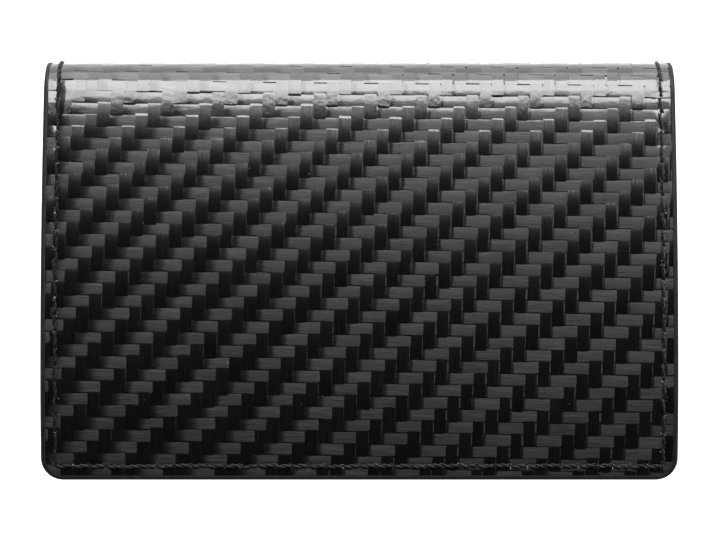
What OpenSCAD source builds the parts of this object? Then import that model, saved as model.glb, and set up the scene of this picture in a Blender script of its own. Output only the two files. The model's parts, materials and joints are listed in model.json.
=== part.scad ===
// Folded card wallet with a carbon weave skin, lying on its back cover.
// X runs along the fold, +Y points to the fold and +Z points up, away from the table.
// The origin is on the table, under the middle of the wallet.
// Every layer is named by its depth below the outer face of the wallet.

/* [Wallet] */
// Width of the covers, along the fold
wallet_w = 101; // [98:0.5:108]
// Length from the free edge to the outside of the fold
wallet_l = 67; // [65:0.5:72]
// Radius of the two corners at the free edge
corner_r = 3.5; // [3.1:0.1:5]

/* [Fold] */
// Radius of the fold, at its outer face
fold_r = 6.2; // [6:0.1:6.8]
// Angle at which the front cover leaves the fold, above level
lift = 11.5; // [10:0.5:13]
// Angle at which the front cover's free edge turns down, below level
droop = 10; // [7:0.5:11]
// Place of the front cover's highest line, along Y
crown_y = -17; // [-19:0.5:-12]
// Clear angle between neighbouring strips of the fold
strip_gap = 3; // [2:0.5:4]

/* [Layers] */
// Thickness of the woven skin
skin_t = 0.5; // [0.4:0.05:0.6]
// Thickness of the backing that the skin is bonded to
backing_t = 0.6; // [0.5:0.05:0.7]
// Thickness of the leather lining
lining_t = 0.8; // [0.6:0.05:0.9]
// Width of the painted edge round the covers
edge_w = 0.8; // [0.5:0.1:1]

/* [Stitching] */
// Distance from the edge to the middle of the seam
seam_in = 2.35; // [2:0.05:2.6]
// Distance from one stitch to the next
stitch_pitch = 2.7; // [2.4:0.1:3.2]
// Length of one stitch
stitch_l = 2.15; // [1.6:0.05:2.3]
// Width of the thread
thread_w = 0.5; // [0.4:0.05:0.6]

/* [Pockets] */
// Thickness of a slip slot's leather
slot_t = 0.7; // [0.5:0.05:0.8]
// Room for a card behind a slot's leather
slot_gap = 0.4; // [0.3:0.05:0.5]
// Mouth of the rear slip slot, along Y
rear_mouth = 9; // [5:0.5:14]
// Mouth of the front slip slot, along Y
front_mouth = 0; // [-6:0.5:4]
// Mouth of the gusseted pocket, along Y
pocket_mouth = 13; // [8:0.5:16]
// Height of the space inside the gusseted pocket at rest
pocket_room = 2.45; // [2.2:0.05:2.6]
// Thickness of the gusseted pocket's leather
pocket_t = 0.8; // [0.6:0.05:0.9]
// Thickness of the cloth inside the gusseted pocket
cloth_t = 0.25; // [0.2:0.05:0.3]
// How far the gussets fold inwards
gusset_in = 4.5; // [3:0.5:6]
// Thickness of the gussets
gusset_t = 0.45; // [0.3:0.05:0.5]

/* [Hidden] */
$fn = 48;
strips = 2;                                 // rigid strips that stand for the bending fold
arc_steps = 8;                              // straight lengths in each arc of a cover
strip_steps = 7;                            // straight lengths in each strip of the fold
half_w = wallet_w / 2;
free_y = -wallet_l / 2;
spine_y = wallet_l / 2 - fold_r;            // axis of the fold, along Y
wrap = 180 - lift;                          // angle that the fold turns through
hinge_step = wrap / (strips + 1);           // angle from one hinge line to the next
crown_r = (spine_y - crown_y) / sin(lift) + fold_r;     // front cover, fold to crown
edge_r = (crown_y - free_y) / sin(droop);               // front cover, crown to free edge
crown_z = fold_r + fold_r * cos(lift) + crown_r * (1 - cos(lift));
cover_t = skin_t + backing_t + lining_t;
rear_out = cover_t + slot_gap + slot_t;     // depth of the rear slot's inner face
front_out = rear_out + slot_gap + slot_t;   // depth of the front slot's inner face
overrun = 1.5;                              // how far a layer runs on before it is trimmed
tall = 30;                                  // height of the upright trimming shapes
groove = 0.25;                              // depth of the seam's groove in the skin
thread_sunk = 0.05;                         // how far the thread lies below the skin
groove_w = thread_w + 0.2;                  // width of that groove
smallest_r = 0.3;                           // corner radius of an outline drawn far in
rim_w = 2.2;                                // width of a slot's sewn rim
pocket_clear = 0.3;                         // clear height under the pocket's sewn edge
pocket_inset = 1;                           // from the wallet's edge to the pocket's edge
flange_y = free_y + 3.1;                    // where the pocket starts to rise
rise_y = free_y + 6.7;                      // where the pocket reaches its height
gusset_end = 1;                             // from the mouth to the gussets' ends
gusset_clear = 0.1;                         // clear height over the gussets
mouth_seam = 2;                             // from a mouth to its row of stitches
mouth_end = seam_in + 0.5;                  // from the wallet's side to the ends of that row

// Points of a profile: x is the wallet's Y and y is its Z.
function spine_point(angle, depth) = [
    spine_y + (fold_r - depth) * cos(angle),
    fold_r + (fold_r - depth) * sin(angle)
];
function cover_point(slope, depth) =
    let (r = slope >= 0 ? crown_r : edge_r)
    [crown_y + (r - depth) * sin(slope), crown_z - r + (r - depth) * cos(slope)];
function steps(from, to, count) = [for (i = [0 : count]) from + (to - from) * i / count];
function reversed(list) = [for (i = [len(list) - 1 : -1 : 0]) list[i]];
function hinge_angle(k) = -90 + (k - 0.5) * hinge_step;

function back_path(depth) = concat(
    [[free_y - overrun, depth]],
    [for (a = steps(-90, hinge_angle(1) - strip_gap / 2, strip_steps)) spine_point(a, depth)]
);
function front_path(depth) = concat(
    [for (a = steps(hinge_angle(strips + 1) + strip_gap / 2, 90 - lift, strip_steps)) spine_point(a, depth)],
    [for (a = steps(lift * (1 - 1 / arc_steps), 0, arc_steps - 1)) cover_point(a, depth)],
    [for (a = steps(-droop / arc_steps, -droop - overrun, arc_steps)) cover_point(a, depth)]
);
function strip_path(k, depth) = [
    for (a = steps(hinge_angle(k) + strip_gap / 2, hinge_angle(k + 1) - strip_gap / 2, strip_steps))
        spine_point(a, depth)
];

// A profile drawn in Y and Z, run along X between two places.
module along_x(x0, x1, profile)
    rotate([90, 0, 90])
        translate([0, 0, x0])
            linear_extrude(x1 - x0)
                polygon(profile);

module back_layer(from, to)
    along_x(-half_w, half_w, concat(back_path(from), reversed(back_path(to))));

module front_layer(from, to)
    along_x(-half_w, half_w, concat(front_path(from), reversed(front_path(to))));

module strip_layer(k, x0, x1, from, to)
    along_x(x0, x1, concat(strip_path(k, from), reversed(strip_path(k, to))));

// The covers' outline, drawn in from the edge and ending at y_top.
module outline_shape(inset, y_top) {
    r = max(corner_r - inset, smallest_r);
    half = half_w - inset;
    low = free_y + inset;
    translate([-half, low + r])
        square([2 * half, y_top - low - r]);
    translate([r - half, low])
        square([2 * (half - r), r]);
    for (side = [-1, 1])
        translate([side * (half - r), low + r])
            circle(r);
}

// Upright block of that outline.
module outline(inset, y_top)
    translate([0, 0, -1])
        linear_extrude(tall)
            outline_shape(inset, y_top);

// Upright wall that follows the outline on three sides.
module border(outside, inside, y_top)
    translate([0, 0, -1])
        linear_extrude(tall)
            difference() {
                outline_shape(outside, y_top);
                outline_shape(inside, y_top + 1);
            }

module seam_groove()
    border(seam_in - groove_w / 2, seam_in + groove_w / 2, wallet_l);

// Upright blocks in a row, each as long as a stitch, along X or along Y.
module stitch_row(from, to, along) {
    run = norm(to - from);
    count = round(run / stitch_pitch);
    for (i = [0 : count - 1])
        translate(from + (to - from) * (i + 0.5) / count)
            translate([0, 0, tall / 2 - 1])
                cube(along == "x" ? [stitch_l, thread_w, tall] : [thread_w, stitch_l, tall], center = true);
}

// The stitches of one cover, from the fold down each side and along the free edge.
module cover_stitches(y_top) {
    x = half_w - seam_in;
    y = free_y + seam_in;
    for (side = [-1, 1])
        stitch_row([side * x, y, 0], [side * x, y_top, 0], "y");
    stitch_row([-x, y, 0], [x, y, 0], "x");
}

module carbon() color([0.13, 0.13, 0.14]) children();
module leather() color([0.07, 0.07, 0.07]) children();
module board() color([0.22, 0.2, 0.18]) children();
module cloth() color([0.3, 0.3, 0.32]) children();
module paint() color([0.04, 0.04, 0.04]) children();
module yarn() color([0.16, 0.16, 0.16]) children();

// Back cover
module back_skin()
    carbon() difference() {
        intersection() {
            back_layer(0, skin_t);
            outline(edge_w, wallet_l);
        }
        intersection() {
            back_layer(-1, groove);
            seam_groove();
        }
    }

module back_backing()
    board() intersection() {
        back_layer(skin_t, skin_t + backing_t);
        outline(edge_w, wallet_l);
    }

module back_lining()
    leather() intersection() {
        back_layer(skin_t + backing_t, cover_t);
        outline(edge_w, wallet_l);
    }

module back_edge()
    paint() intersection() {
        back_layer(0, cover_t);
        border(0, edge_w, wallet_l);
    }

module back_thread()
    yarn() intersection() {
        back_layer(thread_sunk, groove);
        cover_stitches(spine_y);
    }

// Gusseted pocket on the back cover
function pocket_path(height) = [
    [free_y, cover_t + pocket_clear + height],
    [flange_y, cover_t + pocket_clear + height],
    [rise_y, cover_t + pocket_room + height],
    [wallet_l, cover_t + pocket_room + height]
];

module pocket_layer(from, to)
    intersection() {
        along_x(-half_w, half_w, concat(pocket_path(to), reversed(pocket_path(from))));
        outline(pocket_inset, pocket_mouth);
    }

module pocket_panel()
    leather() difference() {
        pocket_layer(cloth_t, cloth_t + pocket_t);
        translate([0, 0, cover_t + pocket_room + cloth_t + pocket_t - groove])
            linear_extrude(tall)
                translate([0, pocket_mouth - mouth_seam])
                    square([wallet_w - 2 * seam_in, groove_w], center = true);
    }

module pocket_lining()
    cloth() pocket_layer(0, cloth_t);

module pocket_thread()
    yarn() intersection() {
        pocket_layer(cloth_t + pocket_t - groove, cloth_t + pocket_t - thread_sunk);
        mouth_stitches(pocket_mouth);
    }

module mouth_stitches(mouth)
    stitch_row([mouth_end - half_w, mouth - mouth_seam, 0], [half_w - mouth_end, mouth - mouth_seam, 0], "x");

// Side wall of the pocket, folded inwards, drawn for the right-hand side.
module gusset() {
    outer_x = half_w - pocket_inset;
    inner_x = outer_x - gusset_in;
    low_z = cover_t;
    high_z = cover_t + pocket_room - gusset_clear;
    mid_z = (low_z + high_z) / 2;
    leather() translate([0, pocket_mouth - gusset_end, 0])
        rotate([90, 0, 0])
            linear_extrude(pocket_mouth - gusset_end - rise_y)
                polygon([
                    [outer_x, low_z], [inner_x, mid_z - gusset_t / 2], [inner_x, mid_z + gusset_t / 2],
                    [outer_x, high_z], [outer_x, high_z - gusset_t], [inner_x + gusset_t * 2, mid_z],
                    [outer_x, low_z + gusset_t]
                ]);
}

module gusset_right() gusset();
module gusset_left() mirror([1, 0, 0]) gusset();

// Fold, as strips that turn on one another along their outer face
module spine_skin(k)
    carbon() difference() {
        strip_layer(k, edge_w - half_w, half_w - edge_w, 0, skin_t);
        for (side = [-1, 1])
            strip_layer(k, side * (half_w - seam_in) - groove_w / 2, side * (half_w - seam_in) + groove_w / 2,
                        -1, groove);
    }

module spine_backing(k)
    board() strip_layer(k, edge_w - half_w, half_w - edge_w, skin_t, skin_t + backing_t);

module spine_lining(k)
    leather() strip_layer(k, edge_w - half_w, half_w - edge_w, skin_t + backing_t, cover_t);

module spine_edge(k)
    paint() for (x = [-half_w, half_w - edge_w])
        strip_layer(k, x, x + edge_w, 0, cover_t);

module spine_thread(k)
    yarn() for (side = [-1, 1])
        strip_layer(k, side * (half_w - seam_in) - thread_w / 2, side * (half_w - seam_in) + thread_w / 2,
                    thread_sunk, groove);

// Front cover
module front_skin()
    carbon() difference() {
        intersection() {
            front_layer(0, skin_t);
            outline(edge_w, wallet_l);
        }
        intersection() {
            front_layer(-1, groove);
            seam_groove();
        }
    }

module front_backing()
    board() intersection() {
        front_layer(skin_t, skin_t + backing_t);
        outline(edge_w, wallet_l);
    }

module front_lining()
    leather() intersection() {
        front_layer(skin_t + backing_t, cover_t);
        outline(edge_w, wallet_l);
    }

module front_edge()
    paint() {
        intersection() {
            front_layer(0, cover_t);
            border(0, edge_w, wallet_l);
        }
        intersection() {
            front_layer(cover_t, rear_out);
            border(0, edge_w, rear_mouth);
        }
        intersection() {
            front_layer(rear_out, front_out);
            border(0, edge_w, front_mouth);
        }
    }

module front_thread()
    yarn() intersection() {
        front_layer(thread_sunk, groove);
        cover_stitches(spine_y);
    }

// Slip slots in the front cover: a sheet of leather on a rim that is sewn to the layer behind.
module slot(base, mouth)
    leather() union() {
        intersection() {
            front_layer(base, base + slot_gap);
            border(edge_w, edge_w + rim_w, mouth);
        }
        intersection() {
            front_layer(base + slot_gap, base + slot_gap + slot_t);
            outline(edge_w, mouth);
        }
    }

module slot_rear() slot(cover_t, rear_mouth);
module slot_front() slot(rear_out, front_mouth);

module slot_thread()
    yarn() {
        intersection() {
            front_layer(rear_out, rear_out + groove - thread_sunk);
            mouth_stitches(rear_mouth);
        }
        intersection() {
            front_layer(front_out, front_out + groove - thread_sunk);
            mouth_stitches(front_mouth);
        }
    }

back_skin();
back_backing();
back_lining();
back_edge();
back_thread();
gusset_left();
gusset_right();
pocket_panel();
pocket_lining();
pocket_thread();
for (k = [1 : strips]) {
    spine_skin(k);
    spine_backing(k);
    spine_lining(k);
    spine_edge(k);
    spine_thread(k);
}
front_skin();
front_backing();
front_lining();
front_edge();
front_thread();
slot_rear();
slot_front();
slot_thread();
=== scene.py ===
"""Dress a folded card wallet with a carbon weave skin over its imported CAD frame.

Each layer is cut and sewn flat, as on a maker's bench. Flat work has x along the fold, y as the way
round the wallet from the front cover's free edge to the back cover's, and z as the height over the
outer face. It is then wrapped round the wallet in spans: the front cover, three stretches of the
fold, and the back cover. All lengths are in metres.
"""

import json
import logging
import math
from collections.abc import Callable, Iterable, Sequence
from dataclasses import dataclass, field
from enum import Enum

import bpy
import numpy as np
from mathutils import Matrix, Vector

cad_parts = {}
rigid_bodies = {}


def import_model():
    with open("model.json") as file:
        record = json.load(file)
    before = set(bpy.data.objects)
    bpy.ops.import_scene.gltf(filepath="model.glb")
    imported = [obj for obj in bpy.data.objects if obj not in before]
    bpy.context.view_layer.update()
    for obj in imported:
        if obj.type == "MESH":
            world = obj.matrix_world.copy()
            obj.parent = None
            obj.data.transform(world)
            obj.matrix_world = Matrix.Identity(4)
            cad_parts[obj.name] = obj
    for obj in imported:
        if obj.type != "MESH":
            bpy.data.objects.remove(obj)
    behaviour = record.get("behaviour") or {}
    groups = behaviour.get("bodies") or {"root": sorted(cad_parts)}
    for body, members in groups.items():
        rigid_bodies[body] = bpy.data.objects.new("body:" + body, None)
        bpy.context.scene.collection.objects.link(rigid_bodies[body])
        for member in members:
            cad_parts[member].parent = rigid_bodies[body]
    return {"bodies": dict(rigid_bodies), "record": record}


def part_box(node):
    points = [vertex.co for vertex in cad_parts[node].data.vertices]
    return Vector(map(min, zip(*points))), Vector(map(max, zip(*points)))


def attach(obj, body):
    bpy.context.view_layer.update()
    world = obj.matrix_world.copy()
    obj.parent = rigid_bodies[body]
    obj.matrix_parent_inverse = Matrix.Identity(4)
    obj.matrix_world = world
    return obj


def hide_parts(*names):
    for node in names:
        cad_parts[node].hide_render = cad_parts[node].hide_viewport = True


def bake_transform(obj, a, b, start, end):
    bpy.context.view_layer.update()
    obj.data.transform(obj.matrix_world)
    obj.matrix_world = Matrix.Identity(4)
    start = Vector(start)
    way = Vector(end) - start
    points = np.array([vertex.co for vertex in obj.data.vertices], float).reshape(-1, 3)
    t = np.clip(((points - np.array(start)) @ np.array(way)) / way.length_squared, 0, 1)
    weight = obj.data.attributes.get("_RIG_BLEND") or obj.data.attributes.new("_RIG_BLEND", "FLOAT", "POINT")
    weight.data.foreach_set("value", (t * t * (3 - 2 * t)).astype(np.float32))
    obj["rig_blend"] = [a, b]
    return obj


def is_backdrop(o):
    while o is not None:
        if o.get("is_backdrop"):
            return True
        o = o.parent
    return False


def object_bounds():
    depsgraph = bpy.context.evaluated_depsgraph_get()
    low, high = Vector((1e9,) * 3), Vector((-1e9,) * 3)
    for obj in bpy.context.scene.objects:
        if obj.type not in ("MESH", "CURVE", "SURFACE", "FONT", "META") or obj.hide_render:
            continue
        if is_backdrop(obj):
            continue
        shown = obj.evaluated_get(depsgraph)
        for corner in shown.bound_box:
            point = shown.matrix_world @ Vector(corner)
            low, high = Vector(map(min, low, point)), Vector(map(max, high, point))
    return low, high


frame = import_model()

LOG = logging.getLogger("wallet")
MM = 0.001
NOISE_RANGE = (0.3, 0.7)

Place = Callable[[np.ndarray], np.ndarray]
FLOAT_MARKS = ("lengthwise", "crosswise")


class Axis(Enum):
    """The flat work's own directions."""

    X = (1.0, 0.0, 0.0)
    Y = (0.0, 1.0, 0.0)
    Z = (0.0, 0.0, 1.0)


class Layer(Enum):
    """The layers of a cover, by the name that their CAD nodes carry."""

    SKIN = "skin"
    BACKING = "backing"
    LINING = "lining"
    EDGE = "edge"
    THREAD = "thread"


# ---------------------------------------------------------------- bench tools


def clear_selection() -> None:
    """Leave edit mode and select nothing."""
    if bpy.context.object and bpy.context.object.mode != "OBJECT":
        bpy.ops.object.mode_set(mode="OBJECT")
    bpy.ops.object.select_all(action="DESELECT")


def take(obj: bpy.types.Object) -> None:
    """Make obj the only selected and active object."""
    clear_selection()
    obj.select_set(True)
    bpy.context.view_layer.objects.active = obj


def open_mesh(obj: bpy.types.Object) -> None:
    """Take obj and enter edit mode with all of it selected."""
    take(obj)
    bpy.ops.object.mode_set(mode="EDIT")
    bpy.ops.mesh.select_all(action="SELECT")


def points_of(obj: bpy.types.Object) -> np.ndarray:
    """Return the vertices of obj, one row for each."""
    flat = np.empty(len(obj.data.vertices) * 3)
    obj.data.vertices.foreach_get("co", flat)
    return flat.reshape(-1, 3)


def set_points(obj: bpy.types.Object, points: np.ndarray) -> None:
    """Move the vertices of obj to points."""
    obj.data.vertices.foreach_set("co", np.ascontiguousarray(points, dtype=np.float64).ravel())
    obj.data.update()


def block(name: str, low: Sequence[float], high: Sequence[float]) -> bpy.types.Object:
    """Add a cube primitive stretched between two corners.

    Args:
        name: name of the new object.
        low: its lowest corner.
        high: its highest corner.

    Returns:
        The block, with its place in its mesh.
    """
    clear_selection()
    middle = [(a + b) / 2 for a, b in zip(low, high)]
    bpy.ops.mesh.primitive_cube_add(size=1, location=middle)
    made = bpy.context.object
    made.name = name
    made.scale = [b - a for a, b in zip(low, high)]
    bpy.ops.object.transform_apply(location=True, rotation=True, scale=True)
    return made


def score(obj: bpy.types.Object, axis: Axis, places: Iterable[float]) -> None:
    """Cut extra edges across obj, square to axis, at each place."""
    open_mesh(obj)
    for place in places:
        bpy.ops.mesh.select_all(action="SELECT")
        point = [part * place for part in axis.value]
        bpy.ops.mesh.bisect(plane_co=point, plane_no=axis.value)
    bpy.ops.object.mode_set(mode="OBJECT")


def trim(obj: bpy.types.Object, point: Sequence[float], outward: Sequence[float]) -> None:
    """Cut away what lies beyond point in the outward direction, and close the cut."""
    open_mesh(obj)
    bpy.ops.mesh.bisect(plane_co=point, plane_no=outward, clear_outer=True)
    bpy.ops.mesh.select_all(action="SELECT")
    bpy.ops.mesh.fill_holes(sides=0)
    bpy.ops.object.mode_set(mode="OBJECT")


def choose_edges(obj: bpy.types.Object, wanted: Callable[[np.ndarray, np.ndarray], np.ndarray]) -> None:
    """Open obj in edge mode with only some of its edges selected.

    Args:
        obj: the object.
        wanted: takes the two ends of every edge and says which edges to select.
    """
    take(obj)
    points = points_of(obj)
    ends = np.empty(len(obj.data.edges) * 2, dtype=np.int64)
    obj.data.edges.foreach_get("vertices", ends)
    ends = ends.reshape(-1, 2)
    chosen = wanted(points[ends[:, 0]], points[ends[:, 1]])
    bpy.ops.object.mode_set(mode="EDIT")
    bpy.ops.mesh.select_mode(type="EDGE")
    bpy.ops.mesh.select_all(action="DESELECT")
    bpy.ops.object.mode_set(mode="OBJECT")
    obj.data.edges.foreach_set("select", chosen)
    bpy.ops.object.mode_set(mode="EDIT")


def round_edges(
    obj: bpy.types.Object,
    wanted: Callable[[np.ndarray, np.ndarray], np.ndarray],
    width: float,
    segments: int,
) -> None:
    """Bevel the wanted edges of obj to a round of that width."""
    choose_edges(obj, wanted)
    bpy.ops.mesh.bevel(offset=width, segments=segments, affect="EDGES", clamp_overlap=True)
    bpy.ops.mesh.select_mode(type="VERT")
    bpy.ops.object.mode_set(mode="OBJECT")


def face_outwards(obj: bpy.types.Object) -> None:
    """Make all the faces of a closed mesh point outwards."""
    open_mesh(obj)
    bpy.ops.mesh.normals_make_consistent(inside=False)
    bpy.ops.object.mode_set(mode="OBJECT")


def smooth(obj: bpy.types.Object, angle: float = 40.0) -> None:
    """Shade obj smooth, but for edges sharper than angle in degrees."""
    take(obj)
    bpy.ops.object.shade_smooth_by_angle(angle=math.radians(angle))


def copy_of(obj: bpy.types.Object, name: str) -> bpy.types.Object:
    """Return a copy of obj with its own mesh."""
    made = obj.copy()
    made.data = obj.data.copy()
    made.name = name
    bpy.context.collection.objects.link(made)
    return made


def discard(obj: bpy.types.Object) -> None:
    """Throw away a pattern that has been copied."""
    mesh = obj.data
    bpy.data.objects.remove(obj, do_unlink=True)
    bpy.data.meshes.remove(mesh)


def mark(mesh: bpy.types.Mesh, name: str, values: np.ndarray) -> None:
    """Store one number for each vertex as an attribute of the mesh."""
    kept = mesh.attributes.new(name, "FLOAT", "POINT")
    kept.data.foreach_set("value", values.astype(np.float32))


def unroll(mesh: bpy.types.Mesh, slant: float = 0.0) -> None:
    """Map U along a piece and V across it, in millimetres.

    Args:
        mesh: the piece's mesh, with its length along X.
        slant: if set, V grows with height too, and by this much along the piece.
    """
    while mesh.uv_layers:
        mesh.uv_layers.remove(mesh.uv_layers[0])
    uv = mesh.uv_layers.new(name="along").data
    for loop in mesh.loops:
        x, y, z = mesh.vertices[loop.vertex_index].co
        uv[loop.index].uv = (x / MM, (y + z + x * slant) / MM if slant else y / MM)


def repeated(name: str, pattern: bpy.types.Object, places: Sequence[Place]) -> bpy.types.Object:
    """Copy a pattern to many places as one mesh.

    Args:
        name: name of the new object.
        pattern: the piece to copy, with or without a UV map.
        places: one function for each copy, from the pattern's points to the copy's.

    Returns:
        The new object. Its attribute "shade" holds a number from 0 to 1 for each copy.
    """
    source = pattern.data
    points = points_of(pattern)
    sizes = np.empty(len(source.polygons), dtype=np.int64)
    source.polygons.foreach_get("loop_total", sizes)
    corners = np.empty(len(source.loops), dtype=np.int64)
    source.loops.foreach_get("vertex_index", corners)
    faces = [part.tolist() for part in np.split(corners, np.cumsum(sizes)[:-1])]
    count = len(places)
    all_points = np.concatenate([place(points) for place in places])
    all_faces = [[c + n * len(points) for c in face] for n in range(count) for face in faces]
    mesh = bpy.data.meshes.new(name)
    mesh.from_pydata(all_points.tolist(), [], all_faces)
    if source.uv_layers:
        flat = np.empty(len(source.loops) * 2)
        source.uv_layers[0].data.foreach_get("uv", flat)
        mesh.uv_layers.new(name="along").data.foreach_set("uv", np.tile(flat, count))
    shades = np.random.default_rng(len(points) + count).random(count)
    mark(mesh, "shade", np.repeat(shades, len(points)))
    for kept in [a for a in source.attributes if a.name in FLOAT_MARKS]:
        values = np.empty(len(points), dtype=np.float32)
        kept.data.foreach_get("value", values)
        mark(mesh, kept.name, np.tile(values, count))
    made = bpy.data.objects.new(name, mesh)
    bpy.context.collection.objects.link(made)
    return made


# ---------------------------------------------------------------- shape of the wallet


def circle_through(a: np.ndarray, b: np.ndarray, c: np.ndarray) -> tuple[np.ndarray, float]:
    """Return the centre and radius of the circle through three points of a plane."""
    rows = np.array([b - a, c - a]) * 2
    right = np.array([b @ b - a @ a, c @ c - a @ a])
    centre = np.linalg.solve(rows, right)
    return centre, float(np.linalg.norm(a - centre))


def smoothstep(value: np.ndarray) -> np.ndarray:
    """Ease value from 0 to 1."""
    eased = np.clip(value, 0.0, 1.0)
    return eased * eased * (3.0 - 2.0 * eased)


@dataclass(frozen=True)
class Profile:
    """The wallet's side profile, and the way that flat work is wrapped round it."""

    half_width: float
    free_y: float
    spine_y: float
    fold_radius: float
    lift: float
    turn: float
    crown_z: float
    droop: float = math.radians(10.0)

    @classmethod
    def from_frame(cls) -> "Profile":
        """Read the profile from the hinges of the fold and the front cover's box."""
        hinges = [j for j in frame["record"]["behaviour"]["joints"] if j["name"].startswith("fold_turn")]
        places = [np.array(j["pos_m"][1:]) for j in hinges]
        centre, radius = circle_through(*places[:3])
        across = [math.atan2(p[1] - centre[1], p[0] - centre[0]) for p in places]
        turn = across[1] - across[0]
        low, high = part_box("front_edge")
        return cls(
            half_width=high[0],
            free_y=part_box("back_edge")[0][1],
            spine_y=float(centre[0]),
            fold_radius=radius,
            lift=math.pi - turn * len(places),
            turn=turn,
            crown_z=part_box("front_skin")[1][2],
        )

    @property
    def crown_radius(self) -> float:
        """Radius of the front cover from the fold to its highest line."""
        level = self.fold_radius * (1 + math.cos(self.lift))
        return (self.crown_z - level) / (1 - math.cos(self.lift))

    @property
    def crown_y(self) -> float:
        """Place of the front cover's highest line."""
        return self.spine_y - (self.crown_radius - self.fold_radius) * math.sin(self.lift)

    @property
    def edge_radius(self) -> float:
        """Radius of the front cover from its highest line to its free edge."""
        return (self.crown_y - self.free_y) / math.sin(self.droop)

    @property
    def crown_way(self) -> float:
        """Way round from the free edge to the front cover's highest line."""
        return self.edge_radius * self.droop

    @property
    def front_way(self) -> float:
        """Way round from the free edge to the fold."""
        return self.crown_way + self.crown_radius * self.lift

    @property
    def back_way(self) -> float:
        """Way round from the front's free edge to the end of the fold."""
        return self.front_way + self.fold_radius * (math.pi - self.lift)

    @property
    def whole_way(self) -> float:
        """Way round from one free edge to the other."""
        return self.back_way + self.spine_y - self.free_y

    def front_way_at(self, y: float) -> float:
        """Way round to a place on the front cover given by its Y."""
        return self.crown_way + self.crown_radius * math.asin((y - self.crown_y) / self.crown_radius)

    def wrapped(self, points: np.ndarray) -> np.ndarray:
        """Return flat points wrapped round the wallet."""
        x, way, height = points.T
        radius = np.where(way < self.crown_way, self.edge_radius, self.crown_radius)
        slope = (np.minimum(way, self.front_way) - self.crown_way) / radius
        cover_y = self.crown_y + (radius + height) * np.sin(slope)
        cover_z = self.crown_z - radius + (radius + height) * np.cos(slope)
        angle = math.pi / 2 - self.lift - (way - self.front_way) / self.fold_radius
        fold_y = self.spine_y + (self.fold_radius + height) * np.cos(angle)
        fold_z = self.fold_radius + (self.fold_radius + height) * np.sin(angle)
        back_y = self.spine_y - (way - self.back_way)
        parts = [way < self.front_way, way < self.back_way]
        y = np.select(parts, [cover_y, fold_y], back_y)
        z = np.select(parts, [cover_z, fold_z], -height)
        return np.column_stack([x, y, z])

    def point(self, way: float, height: float) -> Vector:
        """Return one wrapped point in the middle of the wallet's width."""
        return Vector(self.wrapped(np.array([[0.0, way, height]]))[0])


@dataclass(frozen=True)
class Span:
    """A stretch of the wallet that rides on one body, or bends between two."""

    name: str
    start: float
    end: float
    bodies: tuple[str, ...]
    prefix: str
    number: int = 0

    def node(self, layer: Layer) -> str:
        """Name of the CAD node that a layer of this span stands for."""
        ending = f"_{self.number}" if self.number else ""
        return f"{self.prefix}_{layer.value}{ending}"

    @property
    def bends(self) -> bool:
        """True for a stretch of the fold."""
        return len(self.bodies) > 1


def spans_of(profile: Profile) -> list[Span]:
    """Return the spans of the wallet, from the front cover round to the back."""
    names = [name for name in frame["bodies"] if name.startswith("fold_")]
    chain = ["back", *sorted(names), "front"]
    made = [Span("front", 0.0, profile.front_way, ("front",), "front")]
    step = profile.fold_radius * profile.turn
    for number in range(len(chain) - 1, 0, -1):
        start = profile.back_way - number * step
        bodies = (chain[number], chain[number - 1])
        strip = min(number, len(names))
        made.append(Span(f"fold_{number}", start, start + step, bodies, "spine", strip))
    made.append(Span("back", profile.back_way, profile.whole_way, ("back",), "back"))
    return made


@dataclass
class Wrapper:
    """Cuts flat work into spans, wraps it and fits it to the bodies."""

    profile: Profile
    spans: list[Span]
    fine: float = 0.7 * MM
    coarse: float = 2.6 * MM

    def scores(self) -> list[float]:
        """Places to cut extra edges, closer round the fold than on the covers."""
        made = list(np.arange(self.coarse, self.profile.front_way, self.coarse))
        fold = self.profile.back_way - self.profile.front_way
        count = round(fold / self.fine)
        made += [self.profile.front_way + fold * n / count for n in range(count + 1)]
        return made

    def fit(self, flat: bpy.types.Object, span: Span, deepest: float) -> None:
        """Wrap a flat piece and let it ride on the span's body, or bend between its two.

        Args:
            flat: the flat piece.
            span: the span that it belongs to.
            deepest: height of the piece's deepest point.
        """
        set_points(flat, self.profile.wrapped(points_of(flat)))
        smooth(flat)
        if span.bends:
            start = self.profile.point(span.start, deepest)
            end = self.profile.point(span.end, deepest)
            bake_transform(flat, *span.bodies, start=start, end=end)
        else:
            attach(flat, span.bodies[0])

    def cut(self, flat: bpy.types.Object, span: Span, name: str) -> bpy.types.Object:
        """Return the part of a flat piece that lies in a span."""
        part = copy_of(flat, name)
        if span.start > 0:
            trim(part, (0, span.start, 0), (0, -1, 0))
        if span.end < self.profile.whole_way:
            trim(part, (0, span.end, 0), (0, 1, 0))
        return part


# ---------------------------------------------------------------- finishes


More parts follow.
